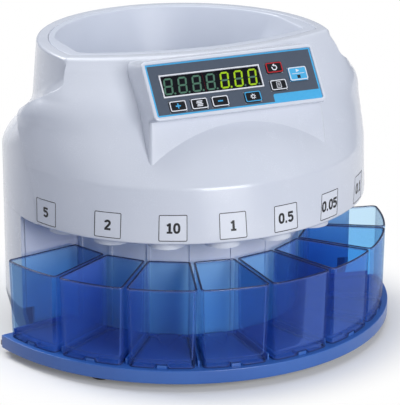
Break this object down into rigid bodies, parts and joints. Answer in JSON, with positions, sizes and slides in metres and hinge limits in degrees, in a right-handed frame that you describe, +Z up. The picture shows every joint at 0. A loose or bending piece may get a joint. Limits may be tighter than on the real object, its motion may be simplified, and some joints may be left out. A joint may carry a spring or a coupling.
{
  "type": "coin counting machine",
  "caption": "Countertop coin counting machine with a lens-shaped hopper, a key and display console, a spinning sorting disc and a fan of pull-out coin boxes.",
  "frame": {"origin": "bottom centre of the whole machine's box, on the table plane under the rubber feet", "axes": "+Z up, -Y towards the operator at the front, +X to the operator's right"},
  "size_m": [0.3634, 0.333, 0.2593],
  "materials": {
    "white_plastic": "gloss",
    "grey_plastic": "satin",
    "tray_blue": "gloss",
    "box_blue": "gloss",
    "wall_blue_grey": "satin",
    "rubber": "matt",
    "steel": "brushed",
    "disc_plastic": "satin",
    "dark_plastic": "satin",
    "overlay": "satin",
    "window": "gloss",
    "display": "satin",
    "board_green": "satin",
    "motor_metal": "satin",
    "zinc": "satin",
    "start_blue": "gloss",
    "rocker_red": "gloss"
  },
  "bodies": {
    "machine": {"base_pan": "grey_plastic", "rubber_feet": "rubber", "coin_tray": "tray_blue", "bay_wall": "wall_blue_grey", "rear_column": "white_plastic", "rear_shell": "white_plastic", "front_cover": "white_plastic", "console": "white_plastic", "hopper_bowl": "white_plastic", "chute_deck": "white_plastic", "coin_chutes_left": "white_plastic", "coin_chutes_right": "white_plastic", "sorting_plate": "steel", "coin_rail": "dark_plastic", "shaft_bearings": "steel", "drive_belt": "rubber", "motor": "motor_metal", "motor_bracket": "zinc", "sensor_board": "board_green", "coin_sensors": "dark_plastic", "panel_overlay": "overlay", "display_window": "window", "display_modules": "display", "keypad_board": "board_green", "key_switches": "dark_plastic", "main_board": "board_green", "board_parts": "dark_plastic", "power_supply": "zinc", "rear_panel": "grey_plastic", "power_inlet": "dark_plastic", "inlet_pins": "steel", "switch_body": "dark_plastic", "fuse_holder": "dark_plastic", "base_screws": "steel", "rear_screws": "steel"},
    "disc": {"coin_disc": "disc_plastic", "disc_shaft": "steel", "driven_pulley": "dark_plastic"},
    "motor_rotor": {"motor_pulley": "dark_plastic", "motor_shaft": "steel"},
    "box_1": {"coin_box_1": "box_blue"},
    "box_2": {"coin_box_2": "box_blue"},
    "box_3": {"coin_box_3": "box_blue"},
    "box_4": {"coin_box_4": "box_blue"},
    "box_5": {"coin_box_5": "box_blue"},
    "box_6": {"coin_box_6": "box_blue"},
    "box_7": {"coin_box_7": "box_blue"},
    "box_8": {"coin_box_8": "box_blue"},
    "key_plus": {"key_plus": "dark_plastic"},
    "key_count": {"key_count": "dark_plastic"},
    "key_minus": {"key_minus": "dark_plastic"},
    "key_set": {"key_set": "dark_plastic"},
    "key_reset": {"key_reset": "dark_plastic"},
    "key_report": {"key_report": "dark_plastic"},
    "key_start_stop": {"key_start_stop": "start_blue"},
    "rocker": {"switch_rocker": "rocker_red"}
  },
  "joints": [
    {"name": "disc_spin", "type": "hinge", "parent": "machine", "child": "disc", "pos_m": [0, 0.0175, 0.13], "axis": [0, 0, -1], "continuous": true},
    {"name": "motor_spin", "type": "hinge", "parent": "machine", "child": "motor_rotor", "pos_m": [0, 0.1055, 0.094], "axis": [0, 0, -1], "continuous": true},
    {"name": "box_1_pull", "type": "slide", "parent": "machine", "child": "box_1", "axis": [-0.9306, -0.366, 0], "range_m": [0, 0.1]},
    {"name": "box_2_pull", "type": "slide", "parent": "machine", "child": "box_2", "axis": [-0.7541, -0.6567, 0], "range_m": [0, 0.1]},
    {"name": "box_3_pull", "type": "slide", "parent": "machine", "child": "box_3", "axis": [-0.4904, -0.8715, 0], "range_m": [0, 0.1]},
    {"name": "box_4_pull", "type": "slide", "parent": "machine", "child": "box_4", "axis": [-0.17, -0.9854, 0], "range_m": [0, 0.1]},
    {"name": "box_5_pull", "type": "slide", "parent": "machine", "child": "box_5", "axis": [0.17, -0.9854, 0], "range_m": [0, 0.1]},
    {"name": "box_6_pull", "type": "slide", "parent": "machine", "child": "box_6", "axis": [0.4904, -0.8715, 0], "range_m": [0, 0.1]},
    {"name": "box_7_pull", "type": "slide", "parent": "machine", "child": "box_7", "axis": [0.7541, -0.6567, 0], "range_m": [0, 0.1]},
    {"name": "box_8_pull", "type": "slide", "parent": "machine", "child": "box_8", "axis": [0.9306, -0.366, 0], "range_m": [0, 0.1]},
    {"name": "key_plus_press", "type": "slide", "parent": "machine", "child": "key_plus", "axis": [0, 0.809, -0.5878], "range_m": [0, 0.0005], "stiffness_N_per_m": 3000},
    {"name": "key_count_press", "type": "slide", "parent": "machine", "child": "key_count", "axis": [0, 0.809, -0.5878], "range_m": [0, 0.0005], "stiffness_N_per_m": 3000},
    {"name": "key_minus_press", "type": "slide", "parent": "machine", "child": "key_minus", "axis": [0, 0.809, -0.5878], "range_m": [0, 0.0005], "stiffness_N_per_m": 3000},
    {"name": "key_set_press", "type": "slide", "parent": "machine", "child": "key_set", "axis": [0, 0.809, -0.5878], "range_m": [0, 0.0005], "stiffness_N_per_m": 3000},
    {"name": "key_reset_press", "type": "slide", "parent": "machine", "child": "key_reset", "axis": [0, 0.809, -0.5878], "range_m": [0, 0.0005], "stiffness_N_per_m": 3000},
    {"name": "key_report_press", "type": "slide", "parent": "machine", "child": "key_report", "axis": [0, 0.809, -0.5878], "range_m": [0, 0.0005], "stiffness_N_per_m": 3000},
    {"name": "key_start_stop_press", "type": "slide", "parent": "machine", "child": "key_start_stop", "axis": [0, 0.809, -0.5878], "range_m": [0, 0.0005], "stiffness_N_per_m": 3000},
    {"name": "rocker_turn", "type": "hinge", "parent": "machine", "child": "rocker", "pos_m": [0.01, 0.1535, 0.066], "axis": [-1, 0, 0], "range_deg": [0, 16]}
  ],
  "couplings": [
    {"joint": "motor_spin", "follows": "disc_spin", "ratio": 4.6667}
  ]
}
